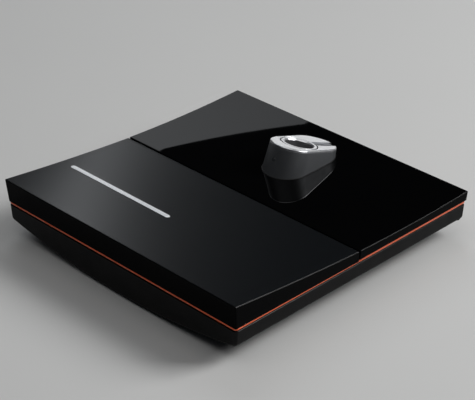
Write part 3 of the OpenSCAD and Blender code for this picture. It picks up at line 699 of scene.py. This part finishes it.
for x, y in SCREWS:
    b = belly(x)
    cuts.append(stepped_tool(x, y, [(3.5, b - 4), (3.5, b - 0.2), (3.1, b + 0.25), (3.1, b + 3.6), (1.6, b + 3.6), (1.6, 3)]))
for x, y in ((-92, 22), (-92, 122), (92, 22), (92, 122), (0, 22), (0, 123)):
    cuts.append(cylinder_tool(1.32, (x, y, -18), (x, y, 0), 24))
cuts.append(stepped_tool(0, 40, [(6.4, -38), (6.4, -35.2), (5.5, -34.3), (5.5, -22.2)], 72))
cuts.append(prism_tool(-160, -145.6, 28.6, 91.4, -17.0, -4.0, 0.01, 1))
cuts.append(prism_tool(-160, -130, 33, 87, -14.6, -4.8, 0.01, 1))
cuts.append(cylinder_tool(8.0, (40, 142, -11), (40, 152, -11), 72))
cuts.append(cylinder_tool(5.0, (-40, 142, -14), (-40, 152, -14), 56))
cuts.append(cylinder_tool(1.5, (-55, -24, -29.8), (55, -24, -29.8), 32))
boolean(housing, cuts, "DIFFERENCE")
dress(housing, M["shell_black"], stands_for=["rear_housing"])
housing.data.materials.append(M["cover_edge"])
for p in housing.data.polygons:                       # the broken edge is smooth from the tool, the walls are textured
    if p.center.z > (S - 3.1) * MM and p.center.z < (S - 2.4) * MM and 0.4 < p.normal.z < 0.8:
        p.material_index = 1


# ---------------------------------------------------------------- camera
NP = 256         # points round each loop of the camera housing


def ray_to_obround(theta, r):
    """Distance from the lens axis to the round-ended outline of that end radius."""
    c, s = math.cos(theta), math.sin(theta)
    best = None
    if abs(c) > 1e-9:
        t = r / abs(c)
        if CY0 <= t * s <= CY1:
            return t
    cy = CY1 if s > 0 else CY0
    # |t (c, s) - (0, cy)| = r
    bq = -2 * s * cy
    cq = cy * cy - r * r
    return (-bq + math.sqrt(max(bq * bq - 4 * cq, 0))) / 2


THETAS = [2 * math.pi * (i + 0.5) / NP for i in range(NP)]


def obround_loop(grow, z):
    """Loop round the tapered camera housing: grow is added to the top plate's end radius, z is depth along the axis."""
    r = NOSE_R - z * FLARE + grow
    return [(ray_to_obround(t, r) * math.cos(t), ray_to_obround(t, r) * math.sin(t), z) for t in THETAS]


def circle_loop(r, z):
    return [(r * math.cos(t), r * math.sin(t), z) for t in THETAS]


def to_seam(loop):
    return [cam_point(*p) for p in loop]


def down_to_face(radius_of, lift=0.0):
    """For each direction, the camera-frame point of the wall where it meets the gloss face plus lift. radius_of(theta, z) is its radius."""
    out = []
    for t in THETAS:
        z = -15.0
        for _ in range(40):
            rr = radius_of(t, z)
            p = cam_point(rr * math.cos(t), rr * math.sin(t), z)
            z -= (p[2] - upper_face(p[1]) - lift) / math.cos(TILT)
        rr = radius_of(t, z)
        out.append((rr * math.cos(t), rr * math.sin(t), z))
    return out


wall_foot = down_to_face(lambda t, z: ray_to_obround(t, NOSE_R - z * FLARE))
inner_foot = down_to_face(lambda t, z: ray_to_obround(t, NOSE_R - z * FLARE - 2.4))
tube_foot = down_to_face(lambda t, z: 18.4)
bore_foot = down_to_face(lambda t, z: 16.0)
TOP = -PLATE_T - 0.3
loops = [to_seam(obround_loop(-1.2, TOP))]
for inn, down in arc(5):                                   # small rounding under the top plate
    loops.append(to_seam(obround_loop(-0.4 * inn, TOP - 0.4 * down)))
for k in range(1, 13):
    t = k / 12
    ring = []
    for i, th in enumerate(THETAS):
        z = (TOP - 0.4) + (wall_foot[i][2] - TOP + 0.4) * t
        rr = ray_to_obround(th, NOSE_R - z * FLARE)
        ring.append((rr * math.cos(th), rr * math.sin(th), z))
    loops.append(to_seam(ring))
loops.append(to_seam(inner_foot))
loops.append(to_seam([(ray_to_obround(th, NOSE_R - 2.4) * math.cos(th), ray_to_obround(th, NOSE_R - 2.4) * math.sin(th), -5.6) for th in THETAS]))
loops.append(to_seam(circle_loop(18.4, -5.6)))
loops.append(to_seam(tube_foot))
loops.append(to_seam(bore_foot))
loops.append(to_seam(circle_loop(16.0, -4.4)))
loops.append(to_seam(circle_loop(HOLE_R, -4.4)))
loops.append(to_seam(circle_loop(HOLE_R, -PLATE_T - 0.02)))
loops.append(to_seam(obround_loop(-1.25, -PLATE_T - 0.02)))
body = loops_object("camera_housing_body", loops)
screw_hole = cylinder_tool(1.75, cam_point(0, -38, -14.5), cam_point(0, -25, -14.5), 40)
boolean(body, [screw_hole], "DIFFERENCE")
dress(body, M["camera_grey"], stands_for=["camera_housing"], angle=35)
body.data.materials.append(M["lens_black"])
hole_p, hole_q = Vector(cam_point(0, -38, -14.5)), Vector(cam_point(0, -25, -14.5))
hole_d = (hole_q - hole_p).normalized()
for p in body.data.polygons:                          # painted shade: the walls of the set screw's hole get the near-black lens finish
    q = p.center / MM - Vector((0, 0, S)) - hole_p
    if 0 < q.dot(hole_d) < 14 and (q - hole_d * q.dot(hole_d)).length < 1.8 and abs(p.normal.dot(hole_d)) < 0.5:
        p.material_index = 1

# gasket lip round the foot
lip = []
for off, up in ((-0.02, 0.0), (0.72, 0.0), (0.74, 0.28), (0.62, 0.52), (0.38, 0.66), (0.1, 0.7), (-0.02, 0.7)):
    lip.append(to_seam(down_to_face(lambda t, z, off=off: ray_to_obround(t, NOSE_R - z * FLARE + off), up)))
gasket = loops_object("camera_gasket_lip", lip)
dress(gasket, M["rubber"], stands_for=["camera_gasket"], angle=50)

# top plate: rounded rim, bored for the ring, slotted to the far rim
plate = []
RT, RD = 1.4, 1.15          # width and depth of the rounded rim
plate.append(to_seam(circle_loop(HOLE_R, -0.22)))
plate.append(to_seam(circle_loop(HOLE_R + 0.22, 0)))


def plate_loop(inset, z):
    """Outer loops of the plate, whose wall has no flare. Near the ring the rim is narrow, so the inset shrinks with it."""
    out = []
    for t in THETAS:
        rr = ray_to_obround(t, NOSE_R)
        room = (rr - HOLE_R - 0.22) * 0.8
        rr2 = ray_to_obround(t, NOSE_R - min(inset, max(room, 0.05)) if inset else NOSE_R)
        out.append((rr2 * math.cos(t), rr2 * math.sin(t), z))
    return out


for inn, down in arc(7):
    plate.append(to_seam(plate_loop(RT * inn, -RD * down)))
plate.append(to_seam(plate_loop(0, -PLATE_T + 0.2)))
plate.append(to_seam(plate_loop(0.2, -PLATE_T)))
plate.append(to_seam(circle_loop(HOLE_R, -PLATE_T)))
top_plate = loops_object("camera_top_plate_cap", plate)


def cam_prism(x0, x1, y0, y1, z0, z1, turn=0.0):
    c, s = math.cos(math.radians(turn)), math.sin(math.radians(turn))
    pts = [(x * c + y * s, y * c - x * s) for x, y in ((x0, y0), (x1, y0), (x1, y1), (x0, y1))]
    return loops_object("tool", [[cam_point(x, y, z) for x, y in pts] for z in (z0, z1)], closed=False, caps=(True, True))


boolean(top_plate, [cam_prism(-5.2, 5.2, 16, 60, -3, 3, 11.0)], "DIFFERENCE")
dress(top_plate, M["silver"], stands_for=["camera_top_plate"], angle=38)


def revolve(name, profile, n=160, closed=True):
    """Turns a closed (r, z) profile round the lens axis."""
    loops = []
    for r, z in profile:
        loops.append(to_seam([(r * math.cos(2 * math.pi * i / n), r * math.sin(2 * math.pi * i / n), z) for i in range(n)]))
    return loops_object(name, loops, closed=closed)


def rounded(points, radius, steps=4):
    """Rounds every corner of a closed (r, z) profile by that radius, or by less where its edges are short."""
    out = []
    n = len(points)
    for i in range(n):
        p, a, b = Vector(points[i]), Vector(points[i - 1]), Vector(points[(i + 1) % n])
        u, v = (a - p), (b - p)
        lu, lv = u.length, v.length
        u.normalize(); v.normalize()
        ang = u.angle(v)
        t = min(radius / math.tan(ang / 2), lu * 0.45, lv * 0.45)
        p0, p1 = p + u * t, p + v * t
        for k in range(steps + 1):
            s = k / steps
            q = p0 * (1 - s) ** 2 + p * 2 * s * (1 - s) + p1 * s ** 2
            out.append((q.x, q.y))
    return out


ring = revolve("lens_ring_turned", rounded([(14.9, 0.0), (RING_R, 0.0), (RING_R, -4.3), (15.6, -4.3), (15.6, -9.5), (13.8, -9.5), (13.8, -1.3)], 0.28))
dress(ring, M["turned"], stands_for=["lens_ring"], angle=40)
ring.data.materials.append(M["ring_bore_painted_shade"])
axis_p, axis_d = Vector(cam_point(0, 0, 0)), (Vector(cam_point(0, 0, 1)) - Vector(cam_point(0, 0, 0))).normalized()
for p in ring.data.polygons:                          # painted shade: the bore gets a darker, duller copy of the turned finish
    q = (p.center / MM - Vector((0, 0, S))) - axis_p
    out = q - axis_d * q.dot(axis_d)
    if out.length < 15.3 and p.normal.dot(out) < 0 and abs(p.normal.dot(axis_d)) < 0.6:
        p.material_index = 1
barrel = revolve("lens_barrel_tube", rounded([(13.2, -9.7), (15.8, -9.7), (15.8, -29.2), (9.2, -29.2), (9.2, -20), (10.6, -20), (10.6, -14.4), (13.2, -14.4)], 0.2))
dress(barrel, M["lens_black"], stands_for=["lens_barrel"], angle=40)


def dome(name, r, z_flat, centre, big, n=128, rings=14):
    """A plano-convex lens."""
    loops = [to_seam([(0.02 * math.cos(2 * math.pi * i / n), 0.02 * math.sin(2 * math.pi * i / n), z_flat) for i in range(n)]),
             to_seam([((r - 0.1) * math.cos(2 * math.pi * i / n), (r - 0.1) * math.sin(2 * math.pi * i / n), z_flat) for i in range(n)])]
    for k in range(rings + 1):
        rr = r * (1 - k / rings) + 0.02 * (k / rings)
        z = centre + math.sqrt(big * big - rr * rr)
        loops.append(to_seam([(rr * math.cos(2 * math.pi * i / n), rr * math.sin(2 * math.pi * i / n), z) for i in range(n)]))
    ob = loops_object(name, loops, closed=True)
    return ob


front = dome("front_lens_glass", 13.05, -14.35, -37.2, 26.6)
dress(front, M["optic"], stands_for=["front_lens"], angle=40)

# ---------------------------------------------------------------- rubber pads
pads = []
for sx in (-1, 1):
    for sy in (-1, 1):
        loops = []
        base = []
        for cy, a0 in ((10, 0), (-10, 180)):
            for i in range(25):
                a = math.radians(a0 + 180 * i / 24)
                base.append((6 * math.cos(a), cy + 6 * math.sin(a), math.cos(a), math.sin(a)))
        cx, cyy = 66 * sx, 112 * sy
        loops.append([(cx + x - nx * 3, cyy + y - ny * 3, -S) for x, y, nx, ny in base])
        for inn, down in arc(5):
            loops.append([(cx + x - nx * 1.0 * inn, cyy + y - ny * 1.0 * inn, -S + 1.0 * down) for x, y, nx, ny in base])
        loops.append([(cx + x, cyy + y, belly(cx + x) + 0.02) for x, y, nx, ny in base])
        ob = loops_object("rear_pad_%d%d" % (sx > 0, sy > 0), loops, closed=False, caps=(True, True))
        pads.append(ob)
for k, ob in enumerate(pads):
    dress(ob, M["rubber"], stands_for=["rear_pads"] if k == 0 else (), angle=40)

# ---------------------------------------------------------------- the CAD nodes that stay
slots = {s["node"]: s["material_slot"] for s in frame["record"]["subparts"]}
EDGE = {"stand_leg": 0.45, "stand_foot": 0.5, "port_door": 0.3, "power_button": 0.45, "light_ring": 0.2, "vent_plug": 0.25,
        "housing_screws": 0.18, "tripod_insert": 0.2, "camera_set_screw": 0.1, "divider_strip": 0.2, "stand_pin": 0.2,
        "mid_frame": 0.15, "heat_sink": 0.2, "power_socket": 0.2, "data_socket": 0.2}
for name, ob in frame["nodes"].items():
    if ob.hide_render:
        continue
    ob.data.materials.clear()
    ob.data.materials.append(M[slots[name]])
    if name in EDGE:
        w = ob.modifiers.new("weld", "WELD")
        w.merge_threshold = 1e-6
        d = ob.modifiers.new("flat", "DECIMATE")
        d.decimate_type = "DISSOLVE"
        d.angle_limit = math.radians(1.0)
        b = ob.modifiers.new("edge", "BEVEL")
        b.width = EDGE[name] * MM
        b.segments = 3
        b.limit_method = "ANGLE"
        b.angle_limit = math.radians(35)
        b.use_clamp_overlap = True
        b.harden_normals = False
        m = ob.modifiers.new("normals", "WEIGHTED_NORMAL")
        m.keep_sharp = True

scene.view_settings.view_transform = "Standard"
scene.view_settings.look = "None"
